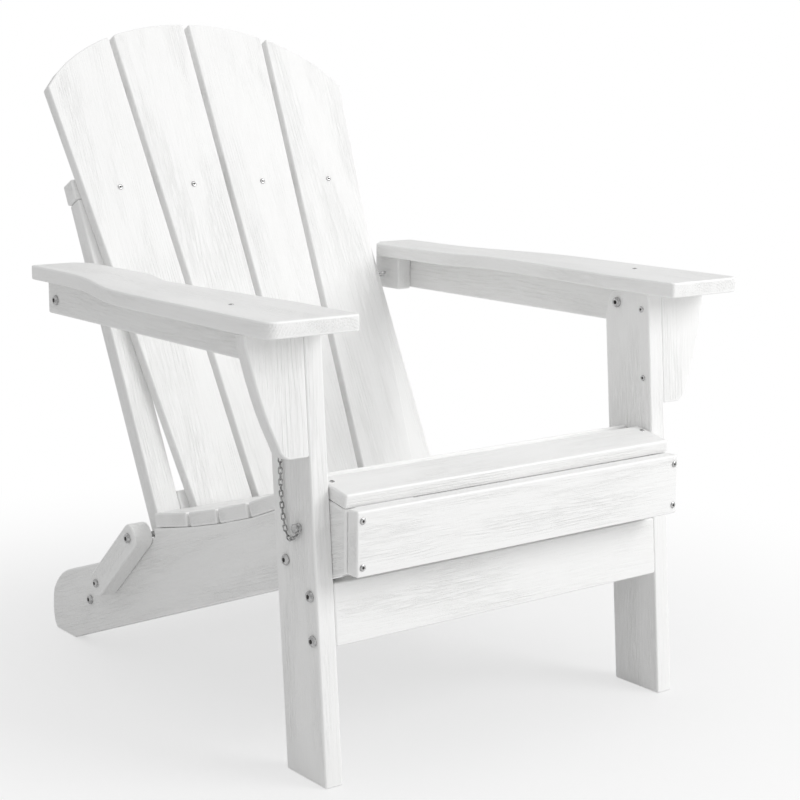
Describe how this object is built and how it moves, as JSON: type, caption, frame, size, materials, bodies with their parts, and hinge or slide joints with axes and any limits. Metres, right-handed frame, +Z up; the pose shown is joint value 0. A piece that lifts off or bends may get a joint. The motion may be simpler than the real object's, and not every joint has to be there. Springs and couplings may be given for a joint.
{
  "type": "folding adirondack chair",
  "caption": "Folding adirondack garden chair: slatted seat and fan-shaped slatted back, wide flat armrests, front legs locked by pins.",
  "frame": {"origin": "on the floor, under the middle of the chair's outline", "axes": "+Z up, -Y is the chair's front, +X to the right as seen from in front"},
  "size_m": [0.756, 0.8203, 0.9003],
  "materials": {
    "lumber": "matt white plastic lumber with a fine embossed wood grain",
    "hardware": "satin stainless steel"
  },
  "bodies": {
    "seat_frame": {"fascia_screw_1": "hardware", "fascia_screw_2": "hardware", "fascia_screw_3": "hardware", "fascia_screw_4": "hardware", "leg_bolt_left": "hardware", "leg_bolt_right": "hardware", "link_bolt_left": "hardware", "link_bolt_right": "hardware", "rear_stretcher": "lumber", "seat_fascia": "lumber", "seat_rail_left": "lumber", "seat_rail_right": "lumber", "seat_slat_1": "lumber", "seat_slat_2": "lumber", "seat_slat_3": "lumber", "seat_slat_4": "lumber", "seat_slat_5": "lumber", "seat_slat_6": "lumber", "stretcher_bolt_left": "hardware", "stretcher_bolt_right": "hardware"},
    "front_legs": {"apron_bolt_lower_left": "hardware", "apron_bolt_lower_right": "hardware", "apron_bolt_upper_left": "hardware", "apron_bolt_upper_right": "hardware", "arm_bolt_left": "hardware", "arm_bolt_right": "hardware", "arm_bracket_left": "lumber", "arm_bracket_right": "lumber", "leg_apron": "lumber", "leg_left": "lumber", "leg_right": "lumber", "pin_chain_left": "hardware", "pin_chain_right": "hardware"},
    "pin_left": {"lock_pin_left": "hardware"},
    "pin_right": {"lock_pin_right": "hardware"},
    "arm_left": {"arm_block_left": "lumber", "arm_rail_left": "lumber", "armrest_left": "lumber", "back_bolt_left": "hardware"},
    "arm_right": {"arm_block_right": "lumber", "arm_rail_right": "lumber", "armrest_right": "lumber", "back_bolt_right": "hardware"},
    "back": {"back_beam_lower": "lumber", "back_beam_middle": "lumber", "back_beam_top": "lumber", "back_screw_1": "hardware", "back_screw_2": "hardware", "back_screw_3": "hardware", "back_screw_4": "hardware", "back_slat_1": "lumber", "back_slat_2": "lumber", "back_slat_3": "lumber", "back_slat_4": "lumber", "back_upright_left": "lumber", "back_upright_right": "lumber"},
    "link_left": {"link_left": "lumber", "upright_bolt_left": "hardware"},
    "link_right": {"link_right": "lumber", "upright_bolt_right": "hardware"}
  },
  "joints": [
    {"name": "leg_fold", "type": "hinge", "parent": "seat_frame", "child": "front_legs", "pos_m": [0, -0.304, 0.2626], "axis": [1, 0, 0], "range_deg": [0, 73.97]},
    {"name": "arm_left_fold", "type": "hinge", "parent": "front_legs", "child": "arm_left", "pos_m": [0, -0.2839, 0.5266], "axis": [1, 0, 0], "range_deg": [-75, 0]},
    {"name": "arm_right_fold", "type": "hinge", "parent": "front_legs", "child": "arm_right", "pos_m": [0, -0.2839, 0.5266], "axis": [1, 0, 0], "range_deg": [-75, 0]},
    {"name": "back_fold", "type": "hinge", "parent": "arm_left", "child": "back", "pos_m": [0, 0.236, 0.5161], "axis": [1, 0, 0], "range_deg": [0, 92.5]},
    {"name": "link_left_fold", "type": "hinge", "parent": "seat_frame", "child": "link_left", "pos_m": [0, 0.1711, 0.1191], "axis": [1, 0, 0], "range_deg": [-107.6, 0]},
    {"name": "link_right_fold", "type": "hinge", "parent": "seat_frame", "child": "link_right", "pos_m": [0, 0.1711, 0.1191], "axis": [1, 0, 0], "range_deg": [-107.6, 0]},
    {"name": "pin_left_pull", "type": "slide", "parent": "front_legs", "child": "pin_left", "axis": [-1, 0, 0], "range_m": [0, 0.05]},
    {"name": "pin_right_pull", "type": "slide", "parent": "front_legs", "child": "pin_right", "axis": [1, 0, 0], "range_m": [0, 0.05]}
  ],
  "couplings": [
    {"joint": "arm_left_fold", "follows": "leg_fold", "ratio": -1.0126},
    {"joint": "arm_right_fold", "follows": "leg_fold", "ratio": -1.0126},
    {"joint": "back_fold", "follows": "leg_fold", "ratio": 1.2491},
    {"joint": "link_left_fold", "follows": "leg_fold", "ratio": -1.4529},
    {"joint": "link_right_fold", "follows": "leg_fold", "ratio": -1.4529}
  ]
}
